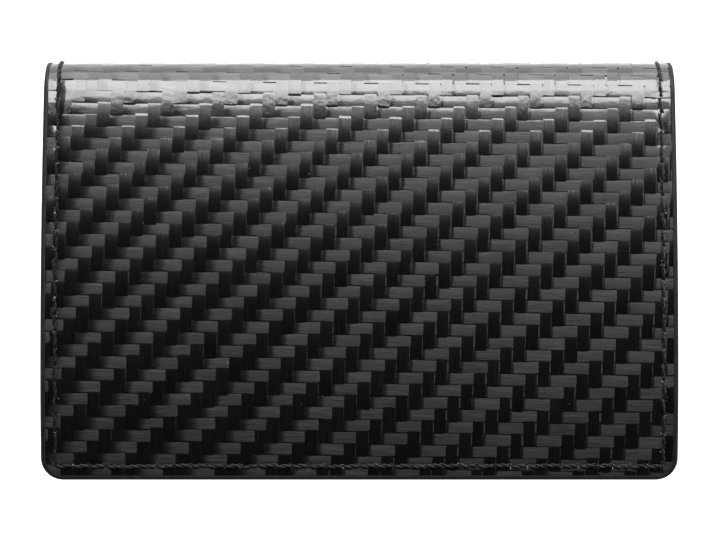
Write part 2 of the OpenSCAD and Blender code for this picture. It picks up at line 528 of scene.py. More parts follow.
@dataclass
class Recipe:
    """A material's node tree while it is put together."""

    name: str
    material: bpy.types.Material = field(init=False)
    shader: bpy.types.Node = field(init=False)

    def __post_init__(self) -> None:
        """Start from an empty material with its main shader."""
        self.material = bpy.data.materials.new(self.name)
        self.material.use_nodes = True
        self.shader = self.material.node_tree.nodes["Principled BSDF"]

    def add(self, kind: str, inputs: dict | None = None, **settings: object) -> bpy.types.Node:
        """Add a node.

        Args:
            kind: the node's type without its ShaderNode prefix.
            inputs: sockets by name or number, each with a value or a socket to link.
            settings: the node's own properties.

        Returns:
            The node.
        """
        node = self.material.node_tree.nodes.new("ShaderNode" + kind)
        for key, value in settings.items():
            setattr(node, key, value)
        for key, value in (inputs or {}).items():
            self.join(node, key, value)
        return node

    def join(self, node: bpy.types.Node, key: str | int, value: object) -> None:
        """Set a socket of node to a value, or link it to another socket."""
        if isinstance(value, bpy.types.NodeSocket):
            self.material.node_tree.links.new(value, node.inputs[key])
        else:
            node.inputs[key].default_value = value

    def set(self, **inputs: object) -> None:
        """Set the main shader's sockets, named with underscores for spaces."""
        for key, value in inputs.items():
            self.join(self.shader, key.replace("_", " "), value)

    def object_space(self, scale: Sequence[float] = (1.0, 1.0, 1.0)) -> bpy.types.NodeSocket:
        """Return Object coordinates, scaled."""
        where = self.add("TexCoord").outputs["Object"]
        return self.add("Mapping", {"Vector": where, "Scale": scale}).outputs[0]

    def uv_space(self, scale: Sequence[float]) -> bpy.types.NodeSocket:
        """Return the piece's UV coordinates, scaled."""
        where = self.add("UVMap", uv_map="along").outputs[0]
        return self.add("Mapping", {"Vector": where, "Scale": scale}).outputs[0]

    def noise(self, where: bpy.types.NodeSocket, scale: float, detail: float = 3.0) -> bpy.types.NodeSocket:
        """Return noise from 0 to 1."""
        node = self.add("TexNoise", {"Vector": where, "Scale": scale, "Detail": detail})
        return node.outputs[0]

    def spread(
        self, value: bpy.types.NodeSocket, low: float, high: float, to_low: float, to_high: float
    ) -> bpy.types.NodeSocket:
        """Map value from one range to another, held at its ends."""
        node = self.add("MapRange", {0: value, 1: low, 2: high, 3: to_low, 4: to_high})
        return node.outputs[0]

    def vary(self, noise: bpy.types.NodeSocket, low: float, high: float) -> bpy.types.NodeSocket:
        """Map noise, which seldom leaves NOISE_RANGE, to the range from low to high."""
        return self.spread(noise, *NOISE_RANGE, low, high)

    def reckon(self, operation: str, a: object, b: object = 0.0) -> bpy.types.NodeSocket:
        """Return the result of a sum on two numbers."""
        return self.add("Math", {0: a, 1: b}, operation=operation).outputs[0]

    def times(self, a: object, b: object) -> bpy.types.NodeSocket:
        """Return the product of two numbers."""
        return self.reckon("MULTIPLY", a, b)

    def plus(self, a: object, b: object) -> bpy.types.NodeSocket:
        """Return the sum of two numbers."""
        return self.reckon("ADD", a, b)

    def mark(self, name: str) -> bpy.types.NodeSocket:
        """Return a number that the piece carries at each vertex."""
        return self.add("Attribute", attribute_name=name).outputs["Fac"]

    def tint(self, colour: Sequence[float], factor: bpy.types.NodeSocket) -> bpy.types.NodeSocket:
        """Return colour made darker or lighter by a factor."""
        node = self.add("VectorMath", {0: colour, "Scale": factor}, operation="SCALE")
        return node.outputs[0]

    def bump(self, height: bpy.types.NodeSocket, depth: float, strength: float = 1.0) -> bpy.types.NodeSocket:
        """Return normals for a height from 0 to 1 that is depth metres deep."""
        node = self.add("Bump", {"Height": height, "Distance": depth, "Strength": strength})
        return node.outputs[0]


@dataclass(frozen=True)
class Tow:
    """Carbon tows under a clear glossy coat, with their fibres along the piece's own U."""

    name: str
    colour: tuple[float, float, float]
    level: float
    roughness: float = 0.36
    fibres: float = 13.0
    bundles: float = 5.6
    arch: float = 0.12
    crown: float = 0.03
    # painted shade: how dark a float's colour goes at its sinking end, 1 for none
    painted_end_shade: float = 0.12
    sink_depth: float = 0.12
    # how far along a float the sink and its painted shade reach, longest at the wallet's left
    sink_and_painted_shade_reach: tuple[float, float] = (0.95, 0.1)
    coat_waves: float = 750.0
    coat_wave_depth: float = 0.01
    coat_dip: float = 0.0
    coat_roughness: float = 0.08

    def make(self) -> bpy.types.Material:
        """Build the material."""
        recipe = Recipe(self.name)
        fine = recipe.noise(recipe.uv_space((0.22, self.fibres, 1.0)), 1.0, 4.0)
        broad = recipe.noise(recipe.uv_space((0.2, self.bundles, 1.0)), 1.0, 3.0)
        shade = recipe.mark("shade")
        streak = recipe.vary(fine, 0.4, 1.6)
        bundle = recipe.spread(broad, 0.34, 0.66, 0.45, 1.5)
        lot = recipe.spread(shade, 0.0, 1.0, 0.86, 1.14)
        factor = recipe.times(recipe.times(streak, bundle), lot)
        rise_and_painted_shade = self.rise_and_painted_shade(recipe)
        # painted shade: darkens each float towards its sinking end, over more of its length towards the
        # wallet's left
        factor = recipe.times(factor, recipe.spread(rise_and_painted_shade, 0.0, 1.0, self.painted_end_shade, 1.0))
        relief = recipe.plus(recipe.times(broad, 0.026), recipe.times(fine, 0.012))
        along = recipe.mark("lengthwise")
        across = recipe.mark("crosswise")
        bow = recipe.times(recipe.reckon("POWER", recipe.reckon("ABSOLUTE", along), 2.0), self.arch)
        bow = recipe.times(bow, recipe.vary(broad, 0.9, 1.1))
        crown = recipe.times(recipe.reckon("POWER", recipe.reckon("ABSOLUTE", across), 2.0), self.crown)
        relief = recipe.reckon("SUBTRACT", relief, recipe.plus(bow, crown))
        relief = recipe.plus(relief, recipe.times(rise_and_painted_shade, self.sink_depth))
        recipe.set(
            Base_Color=recipe.tint(self.colour, factor),
            Roughness=recipe.spread(broad, 0.32, 0.68, self.roughness * 1.35, self.roughness * 0.65),
            Specular_IOR_Level=self.level,
            Anisotropic=0.85,
            Anisotropic_Rotation=0.25,
            Coat_Weight=1.0,
            Coat_Roughness=self.coat_roughness,
            Coat_IOR=1.5,
        )
        recipe.set(Normal=recipe.bump(relief, MM), Coat_Normal=self.coat_surface(recipe, fine))
        tangent = recipe.add("Tangent", direction_type="UV_MAP", uv_map="along").outputs[0]
        recipe.set(Tangent=tangent)
        return recipe.material

    def coat_surface(self, recipe: Recipe, fine: bpy.types.NodeSocket) -> bpy.types.NodeSocket:
        """Return the coat's normals: a little wavy, and dipping unevenly at a tow's ends.

        Args:
            recipe: the material's recipe.
            fine: noise that runs along the fibres.

        Returns:
            The normals.
        """
        along = recipe.mark("lengthwise")
        ragged = recipe.spread(fine, 0.35, 0.65, -0.05, 0.05)
        reached = recipe.plus(recipe.reckon("ABSOLUTE", along), ragged)
        dip = recipe.reckon("POWER", recipe.spread(reached, 0.95, 1.03, 0.0, 1.0), 2.0)
        waves = recipe.noise(recipe.object_space(), self.coat_waves, 2.0)
        swell = recipe.times(waves, self.coat_wave_depth)
        height = recipe.reckon("SUBTRACT", swell, recipe.times(dip, self.coat_dip))
        return recipe.bump(height, MM)

    def rise_and_painted_shade(self, recipe: Recipe) -> bpy.types.NodeSocket:
        """Return how far a tow has come up from its sinking end, a value that also paints shade into that end's
        colour.

        Args:
            recipe: the material's recipe.

        Returns:
            0 at that end, 1 where the tow lies at the surface.
        """
        along = recipe.mark("lengthwise")
        place = recipe.add("SeparateXYZ", {0: recipe.add("TexCoord").outputs["Object"]}).outputs[0]
        reach = recipe.spread(place, -50 * MM, 25 * MM, self.sink_and_painted_shade_reach[0], self.sink_and_painted_shade_reach[1])
        uneven = recipe.vary(recipe.noise(recipe.object_space(), 160.0), 0.6, 1.4)
        share = recipe.reckon("DIVIDE", recipe.plus(along, 0.95), recipe.times(reach, uneven))
        return recipe.add("MapRange", {0: share}, interpolation_type="SMOOTHSTEP").outputs[0]


@dataclass(frozen=True)
class Resin:
    """Black resin between the tows."""

    name: str = "resin"
    colour: tuple[float, float, float] = (0.006, 0.006, 0.0065)

    def make(self) -> bpy.types.Material:
        """Build the material."""
        recipe = Recipe(self.name)
        cloud = recipe.noise(recipe.object_space(), 420.0)
        recipe.set(
            Base_Color=recipe.tint(self.colour, recipe.vary(cloud, 0.6, 1.5)),
            Roughness=recipe.vary(cloud, 0.25, 0.4),
            Normal=recipe.bump(cloud, 0.02 * MM),
        )
        return recipe.material


@dataclass(frozen=True)
class Leather:
    """Fine grained leather, with pores and a soft sheen."""

    name: str = "leather"
    colour: tuple[float, float, float] = (0.021, 0.0205, 0.02)
    grain: float = 1500.0

    def make(self) -> bpy.types.Material:
        """Build the material."""
        recipe = Recipe(self.name)
        where = recipe.object_space()
        bend = recipe.add("TexNoise", {"Vector": where, "Scale": 700.0}).outputs[1]
        warp = recipe.add("VectorMath", {0: bend, "Scale": 0.0005}, operation="SCALE").outputs[0]
        bent = recipe.add("VectorMath", {0: where, 1: warp}, operation="ADD").outputs[0]
        cells = recipe.add(
            "TexVoronoi", {"Vector": bent, "Scale": self.grain}, feature="DISTANCE_TO_EDGE"
        ).outputs[0]
        crease = recipe.spread(cells, 0.0, 0.22, 0.0, 1.0)
        pores = recipe.noise(where, 2600.0, 2.0)
        wear = recipe.noise(where, 90.0, 5.0)
        height = recipe.plus(recipe.times(crease, 0.75), recipe.times(pores, 0.25))
        tone = recipe.times(
            recipe.spread(crease, 0.0, 1.0, 0.55, 1.1), recipe.vary(wear, 0.8, 1.25)
        )
        recipe.set(
            Base_Color=recipe.tint(self.colour, tone),
            Roughness=recipe.vary(wear, 0.42, 0.6),
            Specular_IOR_Level=0.45,
            Sheen_Weight=0.08,
            Sheen_Roughness=0.4,
            Normal=recipe.bump(height, 0.06 * MM),
        )
        return recipe.material


@dataclass(frozen=True)
class EdgePaint:
    """Satin black edge paint in a rounded bead."""

    name: str = "edge_paint"
    colour: tuple[float, float, float] = (0.0085, 0.0085, 0.0087)

    def make(self) -> bpy.types.Material:
        """Build the material."""
        recipe = Recipe(self.name)
        where = recipe.object_space()
        lumps = recipe.noise(where, 380.0, 2.0)
        specks = recipe.noise(where, 2400.0, 3.0)
        recipe.set(
            Base_Color=recipe.tint(self.colour, recipe.vary(specks, 0.7, 1.4)),
            Roughness=recipe.vary(lumps, 0.42, 0.58),
            Specular_IOR_Level=0.15,
            Normal=recipe.bump(recipe.plus(lumps, recipe.times(specks, 0.2)), 0.05 * MM),
        )
        return recipe.material


@dataclass(frozen=True)
class GlintChip:
    """Splintered clear coat: glossy chips, with a pale colour that is painted glint."""

    name: str = "chipped_coat_painted_glint"
    colour: tuple[float, float, float] = (0.4, 0.4, 0.41)

    def make(self) -> bpy.types.Material:
        """Build the material."""
        recipe = Recipe(self.name)
        cloud = recipe.noise(recipe.object_space(), 1500.0)
        recipe.set(
            # painted glint: the pale base colour makes each chip a bright speck
            Base_Color=recipe.tint(self.colour, recipe.vary(cloud, 0.1, 1.6)),
            Roughness=recipe.vary(cloud, 0.15, 0.35),
            Normal=recipe.bump(cloud, 0.02 * MM),
        )
        return recipe.material


@dataclass(frozen=True)
class Yarn:
    """Waxed twisted thread."""

    name: str = "thread"
    colour: tuple[float, float, float] = (0.003, 0.003, 0.0032)

    def make(self) -> bpy.types.Material:
        """Build the material."""
        recipe = Recipe(self.name)
        hairs = recipe.noise(recipe.uv_space((0.8, 14.0, 1.0)), 1.0, 3.0)
        shade = recipe.mark("shade")
        lumps = recipe.noise(recipe.object_space(), 2600.0, 2.0)
        tone = recipe.times(
            recipe.vary(hairs, 0.5, 1.7), recipe.spread(shade, 0.0, 1.0, 0.75, 1.3)
        )
        tone = recipe.times(tone, recipe.spread(lumps, 0.35, 0.65, 0.3, 2.4))
        relief = recipe.plus(recipe.times(hairs, 0.4), lumps)
        recipe.set(
            Base_Color=recipe.tint(self.colour, tone),
            Roughness=recipe.vary(hairs, 0.35, 0.6),
            Specular_IOR_Level=0.25,
            Normal=recipe.bump(relief, 0.12 * MM),
        )
        return recipe.material


@dataclass(frozen=True)
class Board:
    """Matt fibre board behind the skin."""

    name: str = "board"
    colour: tuple[float, float, float] = (0.034, 0.032, 0.03)

    def make(self) -> bpy.types.Material:
        """Build the material."""
        recipe = Recipe(self.name)
        fibres = recipe.noise(recipe.object_space((1.0, 0.3, 1.0)), 1800.0, 5.0)
        recipe.set(
            Base_Color=recipe.tint(self.colour, recipe.vary(fibres, 0.6, 1.4)),
            Roughness=recipe.vary(fibres, 0.75, 0.95),
            Normal=recipe.bump(fibres, 0.04 * MM),
        )
        return recipe.material


@dataclass(frozen=True)
class Cloth:
    """Plain woven pocket cloth."""

    name: str = "pocket_cloth"
    colour: tuple[float, float, float] = (0.05, 0.05, 0.055)
    threads: float = 2.4 / MM

    def make(self) -> bpy.types.Material:
        """Build the material."""
        recipe = Recipe(self.name)
        where = recipe.object_space()
        parts = recipe.add("SeparateXYZ", {0: where})
        waves = []
        for axis in (0, 1):
            run = recipe.times(parts.outputs[axis], self.threads * math.pi)
            waves.append(recipe.reckon("ABSOLUTE", recipe.reckon("SINE", run)))
        weave = recipe.times(*waves)
        fuzz = recipe.noise(where, 1400.0, 3.0)
        tone = recipe.times(
            recipe.spread(weave, 0.0, 0.8, 0.45, 1.2), recipe.vary(fuzz, 0.8, 1.2)
        )
        recipe.set(
            Base_Color=recipe.tint(self.colour, tone),
            Roughness=recipe.vary(fuzz, 0.7, 0.9),
            Sheen_Weight=0.25,
            Normal=recipe.bump(weave, 0.08 * MM),
        )
        return recipe.material


@dataclass(frozen=True)
class Paper:
    """Pale matt paper, lit a little from behind, as on a light table."""

    name: str = "floor_paper"
    colour: tuple[float, float, float] = (0.12, 0.12, 0.12)
    glow: float = 1.7

    def make(self) -> bpy.types.Material:
        """Build the material."""
        recipe = Recipe(self.name)
        tooth = recipe.noise(recipe.object_space(), 300.0)
        recipe.set(
            Base_Color=recipe.tint(self.colour, recipe.vary(tooth, 0.985, 1.0)),
            Roughness=0.9,
            Specular_IOR_Level=0.1,
            Emission_Color=(1.0, 1.0, 1.0, 1.0),
            Emission_Strength=self.glow,
        )
        return recipe.material


class Finishes:
    """All the finishes, each built once."""

    def __init__(self) -> None:
        """Build every material."""
        # painted sheen: weft and warp are one black tow, and the weft's lighter base colour stands in for the
        # light its fibres catch from the soft box; the warp keeps the tow's own black
        self.weft = Tow("weft_tow", (0.022, 0.0223, 0.0229), 0.17, roughness=0.3, arch=0.07).make()
        self.warp = Tow(
            "warp_tow", (0.003, 0.003, 0.0032), 0.2, roughness=0.36, arch=0.09, painted_end_shade=1.0, sink_depth=0.0,
            coat_dip=0.0012,
        ).make()
        # painted sheen: the weft seen between warp tows keeps the weft's lighter base colour
        self.weft_under = Tow("weft_tow_under", (0.0205, 0.0208, 0.0214), 0.13, painted_end_shade=1.0, sink_depth=0.0).make()
        self.chip = GlintChip().make()
        self.resin = Resin().make()
        self.leather = Leather().make()
        self.edge = EdgePaint().make()
        self.yarn = Yarn().make()
        self.board = Board().make()
        self.cloth = Cloth().make()
        self.paper = Paper().make()


def dress(obj: bpy.types.Object, material: bpy.types.Material, slot: str, *nodes: str) -> None:
    """Give obj its material, and let it stand for CAD nodes."""
    obj.data.materials.clear()
    obj.data.materials.append(material)
    if nodes:
        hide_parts(*nodes)
    LOG.info("made %s, %d faces", obj.name, len(obj.data.polygons))


# ---------------------------------------------------------------- seams


@dataclass(frozen=True)
class Outline:
    """The wallet's flat outline, drawn in from its edge."""

    half_width: float
    start: float
    end: float
    corner: float = 3.5 * MM

    def inset(self, points: np.ndarray, radius: float | None = None) -> np.ndarray:
        """Return how far inside the outline each flat point lies."""
        r = self.corner if radius is None else radius
        half = (self.end - self.start) / 2
        over_x = np.abs(points[:, 0]) - self.half_width + r
        over_y = np.abs(points[:, 1] - self.start - half) - half + r
        outside = np.hypot(np.maximum(over_x, 0), np.maximum(over_y, 0))
        return r - outside - np.minimum(np.maximum(over_x, over_y), 0)

    def trim_corners(self, obj: bpy.types.Object, inset: float, square_end: bool = False) -> None:
        """Trim flat work to the outline, drawn in by inset.

        Args:
            obj: the flat work.
            inset: how far in from the edge.
            square_end: leave the far end's corners square.
        """
        steps = 7
        r = self.corner - inset
        for end, way in ((self.start + inset + r, -1), (self.end - inset - r, 1)):
            if square_end and way > 0:
                continue
            for side in (-1, 1):
                middle = Vector((side * (self.half_width - inset - r), end, 0))
                for n in range(1, steps):
                    angle = math.pi / 2 * n / steps
                    outward = Vector((side * math.cos(angle), way * math.sin(angle), 0))
                    trim(obj, middle + outward * r, outward)


@dataclass(frozen=True)
class Stitch:
    """One place on a seam: where, which way and how long."""

    x: float
    y: float
    angle: float
    length: float


@dataclass
class Seam:
    """Rows of twisted stitches."""

    pitch: float = 2.7 * MM
    length: float = 2.7 * MM
    ply_width: float = 0.38 * MM
    slant: float = math.radians(5.0)
    twist: float = math.radians(400)
    taper: float = 0.25
    ply_offset: float = 0.45
    flatness: float = 0.8
    dive: float = 0.2 * MM
    hair_slant: float = 0.6
    sway: float = math.radians(3.0)
    stray: float = 0.05 * MM
    uneven_width: float = 0.1
    rings: int = 6
    sides: int = 5

    def row(self, start: Sequence[float], end: Sequence[float]) -> list[Stitch]:
        """Return evenly spaced stitches from start to end."""
        a = np.array(start)
        b = np.array(end)
        run = float(np.linalg.norm(b - a))
        count = max(1, round(run / self.pitch))
        angle = math.atan2(b[1] - a[1], b[0] - a[0])
        middles = [a + (b - a) * (n + 0.5) / count for n in range(count)]
        return [Stitch(m[0], m[1], angle, self.length * run / count / self.pitch) for m in middles]

    def pattern(self) -> bpy.types.Object:
        """Model one stitch: two plies twisted round each other, diving into its holes at both ends."""
        plies = []
        for number in range(2):
            clear_selection()
            bpy.ops.mesh.primitive_cylinder_add(
                vertices=self.sides,
                radius=0.5,
                depth=1.0,
                rotation=(0, math.pi / 2, 0),
                end_fill_type="NGON",
            )
            ply = bpy.context.object
            bpy.ops.object.transform_apply(location=True, rotation=True, scale=True)
            score(ply, Axis.X, [n / self.rings - 0.5 for n in range(1, self.rings)])
            points = points_of(ply)
            along = points[:, 0]
            thick = self.ply_width * (1 - self.taper * np.abs(2 * along) ** 6)
            turn = math.pi * number + along * self.twist
            ring = self.ply_width * self.ply_offset
            y = points[:, 1] * thick + np.cos(turn) * ring
            z = points[:, 2] * thick + np.sin(turn) * ring * self.flatness
            dive = -self.dive * np.abs(2 * along) ** 8
            set_points(ply, np.column_stack([along * self.length, y, z + dive]))
            plies.append(ply)
        clear_selection()
        for ply in plies:
            ply.select_set(True)
        bpy.context.view_layer.objects.active = plies[0]
        bpy.ops.object.join()
        stitch = bpy.context.object
        unroll(stitch.data, self.hair_slant)
        return stitch

    def sew(self, name: str, stitches: Sequence[Stitch], height: float, seed: int) -> bpy.types.Object:
        """Sew a run of stitches in one piece.

        Args:
            name: name of the piece.
            stitches: their places.
            height: height of their middle line over the outer face.
            seed: seed of the small unevenness.

        Returns:
            The flat piece.
        """
        chance = np.random.default_rng(seed)
        pattern = self.pattern()
        if height < -MM:
            set_points(pattern, points_of(pattern) * (1, 1, -1))
            face_outwards(pattern)

        def placer(stitch: Stitch) -> Place:
            """Return the function that puts the pattern at a stitch's place."""
            turn = stitch.angle + self.slant + chance.normal(0, self.sway)
            shift = chance.normal(0, self.stray, 3)
            size = stitch.length / self.length * chance.normal(1.03, 0.03)
            thick = chance.normal(1, self.uneven_width)

            def place(points: np.ndarray) -> np.ndarray:
                """Place one copy."""
                x = points[:, 0] * size
                y = points[:, 1] * thick
                made_x = stitch.x + x * math.cos(turn) - y * math.sin(turn) + shift[0]
                made_y = stitch.y + x * math.sin(turn) + y * math.cos(turn) + shift[1]
                return np.column_stack([made_x, made_y, points[:, 2] + height + shift[2] * 0.5])

            return place

        made = repeated(name, pattern, [placer(stitch) for stitch in stitches])
        discard(pattern)
        return made


@dataclass
class SplintersAndGlints:
    """Chips of clear coat that the needle broke out, pale-coloured as painted glints."""

    spread: float = 0.22 * MM
    size: float = 0.065 * MM
    each: int = 8
    at_weave: int = 30
    clear: float = 6 * MM

    def pattern(self) -> bpy.types.Object:
        """Model one chip."""
        clear_selection()
        bpy.ops.mesh.primitive_ico_sphere_add(subdivisions=1, radius=1.0)
        chip = bpy.context.object
        take(chip)
        mark(chip.data, "lengthwise", points_of(chip)[:, 0])
        return chip

    def spots(self, stitches: Sequence[Stitch], outline: Outline) -> list[np.ndarray]:
        """Choose places for chips at the needle's holes, and a few on the weave.

        Args:
            stitches: the seam's stitches.
            outline: the skin's flat outline.

        Returns:
            Their flat places.
        """
        chance = np.random.default_rng(57)
        spots = []
        for stitch in stitches:
            reach = stitch.length / 2
            hole = (stitch.x + reach * math.cos(stitch.angle), stitch.y + reach * math.sin(stitch.angle))
            spots += [np.array(hole) + chance.normal(0, self.spread, 2) for _ in range(self.each)]
        inside = outline.half_width - self.clear
        for _ in range(self.at_weave):
            x = chance.uniform(-inside, inside)
            spots.append(np.array([x, chance.uniform(self.clear, outline.end - self.clear)]))
        return spots

    def scatter(self, name: str, spots: Sequence[np.ndarray]) -> bpy.types.Object:
        """Scatter chips at their spots, in one flat piece."""
        chance = np.random.default_rng(58)

        def placer(spot: np.ndarray) -> Place:
            """Return the function that drops a chip at a spot."""
            sizes = self.size * chance.uniform(0.4, 1.2, 3) * (1, 1, 0.5)
            angle = chance.uniform(0, math.pi)

            def place(points: np.ndarray) -> np.ndarray:
                """Place one chip."""
                flat = points * sizes
                x = spot[0] + flat[:, 0] * math.cos(angle) - flat[:, 1] * math.sin(angle)
                y = spot[1] + flat[:, 0] * math.sin(angle) + flat[:, 1] * math.cos(angle)
                return np.column_stack([x, y, flat[:, 2] - 0.01 * MM])

            return place

        chip = self.pattern()
        made = repeated(name, chip, [placer(spot) for spot in spots])
        discard(chip)
        return made


# ---------------------------------------------------------------- covers and fold


@dataclass
class Shell:
    """The covers and the fold: skin, backing, lining, painted edge and seam."""

    profile: Profile
    wrapper: Wrapper
    finishes: Finishes
    seam: Seam
    skin: float = 0.5 * MM
    backing: float = 0.6 * MM
    lining: float = 0.8 * MM
    edge_width: float = 0.8 * MM
    seam_inset: float = 2.35 * MM
    bead_proud: float = 0.05 * MM
    resin_depth: float = 0.16 * MM
    furrow: float = 0.07 * MM
    furrow_reach: float = 0.38 * MM
    pinch_reach: float = 0.6 * MM
    outer_round: float = 0.42 * MM
    inner_round: float = 0.16 * MM

    @property
    def thickness(self) -> float:
        """Thickness of a cover."""
        return self.skin + self.backing + self.lining

    @property
    def outline(self) -> Outline:
        """The outline of the covers and the fold, laid flat."""
        return Outline(self.profile.half_width, 0.0, self.profile.whole_way)

    def plate(self, name: str, top: float, bottom: float) -> bpy.types.Object:
        """Cut one flat layer to the outline inside the painted edge."""
        side = self.profile.half_width - self.edge_width
        low = (-side, self.edge_width, bottom)
        high = (side, self.profile.whole_way - self.edge_width, top)
        flat = block(name, low, high)
        self.outline.trim_corners(flat, self.edge_width)
        score(flat, Axis.Y, self.wrapper.scores())
        return flat

    def lay(
        self,
        flat: bpy.types.Object,
        title: str,
        layer: Layer,
        material: bpy.types.Material,
        slot: str,
        deepest: float,
    ) -> None:
        """Cut a flat layer into spans and fit each to the wallet, then discard the flat one."""
        for span in self.wrapper.spans:
            part = self.wrapper.cut(flat, span, f"{span.name}_{title}")
            self.wrapper.fit(part, span, deepest)
            dress(part, material, slot, span.node(layer))
        discard(flat)

    def dent(self, points: np.ndarray) -> np.ndarray:
        """Return how far the seam pulls the skin down at each flat point."""
        seam = Outline(self.outline.half_width - self.seam_inset, self.seam_inset,
                       self.outline.end - self.seam_inset)
        off = np.abs(seam.inset(points, 0.0001 * MM))
        at_side = np.abs(np.abs(points[:, 0]) - seam.half_width) < off + 0.2 * MM
        run = np.where(at_side, points[:, 1], points[:, 0])
        pinch = 0.5 + 0.5 * np.cos((run / self.seam.pitch) * 2 * math.pi)
        furrow = self.furrow * np.exp(-((off / self.furrow_reach) ** 2))
        return furrow + self.furrow * pinch * np.exp(-((off / self.pinch_reach) ** 2))

    def score_seam(self, flat: bpy.types.Object) -> None:
        """Cut extra edges along the seam, so that its furrow has a shape."""
        side = self.outline.half_width - self.seam_inset
        near = [part * MM for part in (-0.6, -0.25, 0.0, 0.25, 0.6)]
        score(flat, Axis.X, [sign * (side + part) for sign in (-1, 1) for part in near])
        ends = (self.seam_inset, self.outline.end - self.seam_inset)
        score(flat, Axis.Y, [end + part for end in ends for part in near])

    def build_inner_layers(self) -> None:
        """Make the resin ground, the backing and the lining."""
        ground = self.plate("ground", -self.resin_depth, -self.skin)
        self.score_seam(ground)
        points = points_of(ground)
        points[:, 2] -= np.where(points[:, 2] > -self.skin / 2, self.dent(points), 0)
        set_points(ground, points)
        self.lay(ground, "skin_ground", Layer.SKIN, self.finishes.resin, "carbon", -self.skin)
        below = self.skin + self.backing
        backing = self.plate("backing", -self.skin, -below)
        self.lay(backing, "backing", Layer.BACKING, self.finishes.board, "board", -below)
        lining = self.plate("lining", -below, -self.thickness)
        self.lay(lining, "lining", Layer.LINING, self.finishes.leather, "leather", -self.thickness)

    def bead(self, name: str, outline: Outline, top: float, bottom: float, open_end: bool) -> bpy.types.Object:
        """Make a painted edge as a rounded ring inside an outline.

        Args:
            name: name of the piece.
            outline: its flat outline.
            top: height of its top.
            bottom: height of its bottom.
            open_end: leave out the side at the outline's far end.

        Returns:
            The flat piece.
        """
        clear_selection()
        middle = (outline.start + outline.end) / 2
        bpy.ops.mesh.primitive_plane_add(size=1, location=(0, middle, top))
        ring = bpy.context.object
        ring.name = name
        ring.scale = (outline.half_width * 2, outline.end - outline.start, 1)
        bpy.ops.object.transform_apply(location=True, rotation=True, scale=True)
        open_mesh(ring)
        if open_end:
            bpy.ops.mesh.select_all(action="DESELECT")
            bpy.ops.object.mode_set(mode="OBJECT")
            for vertex in ring.data.vertices:
                vertex.select = vertex.co.y < middle
            bpy.ops.object.mode_set(mode="EDIT")
        bpy.ops.mesh.bevel(offset=outline.corner, segments=10, affect="VERTICES")
        bpy.ops.mesh.select_all(action="SELECT")
        bpy.ops.mesh.inset(thickness=self.edge_width, depth=0)
        bpy.ops.mesh.delete(type="FACE")
        bpy.ops.mesh.select_all(action="SELECT")
        down = {"value": (0, 0, bottom - top)}
        bpy.ops.mesh.extrude_region_move(TRANSFORM_OT_translate=down)
        bpy.ops.object.mode_set(mode="OBJECT")
        face_outwards(ring)
        near = 0.01 * MM

        def level(a: np.ndarray, b: np.ndarray) -> np.ndarray:
            """Say which edges lie level."""
            return np.abs(a[:, 2] - b[:, 2]) < near

        def rim(a: np.ndarray, b: np.ndarray) -> np.ndarray:
            """Say which level edges lie on the outline."""
            return level(a, b) & (outline.inset(a) < near) & (outline.inset(b) < near)

        def inner(a: np.ndarray, b: np.ndarray) -> np.ndarray:
            """Say which top edges lie at the skin."""
            inside = self.edge_width - 4 * near
            high = (a[:, 2] > top - near) & (outline.inset(a) > inside) & (outline.inset(b) > inside)
            return level(a, b) & high

        round_edges(ring, rim, self.outer_round, 4)
        round_edges(ring, inner, self.inner_round, 2)
        if open_end:
            trim(ring, (0, outline.end - self.edge_width - 5 * near, 0), (0, 1, 0))
            face_outwards(ring)
        return ring

    def build_edge(self) -> None:
        """Make the painted edge all round."""
        ring = self.bead("edge", self.outline, self.bead_proud, -self.thickness - self.bead_proud, False)
        score(ring, Axis.Y, self.wrapper.scores())
        self.lay(ring, "edge", Layer.EDGE, self.finishes.edge, "edge_paint", -self.thickness - self.bead_proud)

    def seam_runs(self) -> list[Stitch]:
        """Return the stitches of the seam round the whole outline."""
        side = self.profile.half_width - self.seam_inset
        low = self.seam_inset
        high = self.profile.whole_way - self.seam_inset
        corners = [(-side, low), (side, low), (side, high), (-side, high), (-side, low)]
        made: list[Stitch] = []
        for start, end in zip(corners, corners[1:]):
            made += self.seam.row(start, end)
        return made

    def build_seam(self) -> None:
        """Sew the seam on the outer face, and on the lining round the fold and the back cover."""
        runs = self.seam_runs()
        for span in self.wrapper.spans:
            mine = [s for s in runs if span.start <= s.y < span.end]
            outer = self.seam.sew(f"{span.name}_seam", mine, 0.02 * MM, 7)
            self.wrapper.fit(outer, span, -self.thickness)
            dress(outer, self.finishes.yarn, "thread", span.node(Layer.THREAD))
            low = self.profile.front_way_at(9 * MM)
            high = self.profile.back_way + self.profile.spine_y - 14 * MM
            hidden = [s for s in mine if low < s.y < high]
            if hidden:
                inner = self.seam.sew(f"{span.name}_seam_inside", hidden, -self.thickness - 0.04 * MM, 8)
                self.wrapper.fit(inner, span, -self.thickness - 0.3 * MM)
                dress(inner, self.finishes.yarn, "thread")
        self.scatter_splinters_and_glints(runs)

    def scatter_splinters_and_glints(self, runs: Sequence[Stitch]) -> None:
        """Scatter chips of clear coat, pale-coloured as painted glints, along the seam and over the weave."""
        splinters = SplintersAndGlints()
        spots = splinters.spots(runs, self.outline)
        for span in self.wrapper.spans:
            mine = [spot for spot in spots if span.start <= spot[1] < span.end]
            chips = splinters.scatter(f"{span.name}_skin_splinters", mine)
            points = points_of(chips)
            points[:, 2] -= self.dent(points) * 0.8
            set_points(chips, points)
            self.wrapper.fit(chips, span, -self.skin)
            dress(chips, self.finishes.chip, "carbon", span.node(Layer.SKIN))


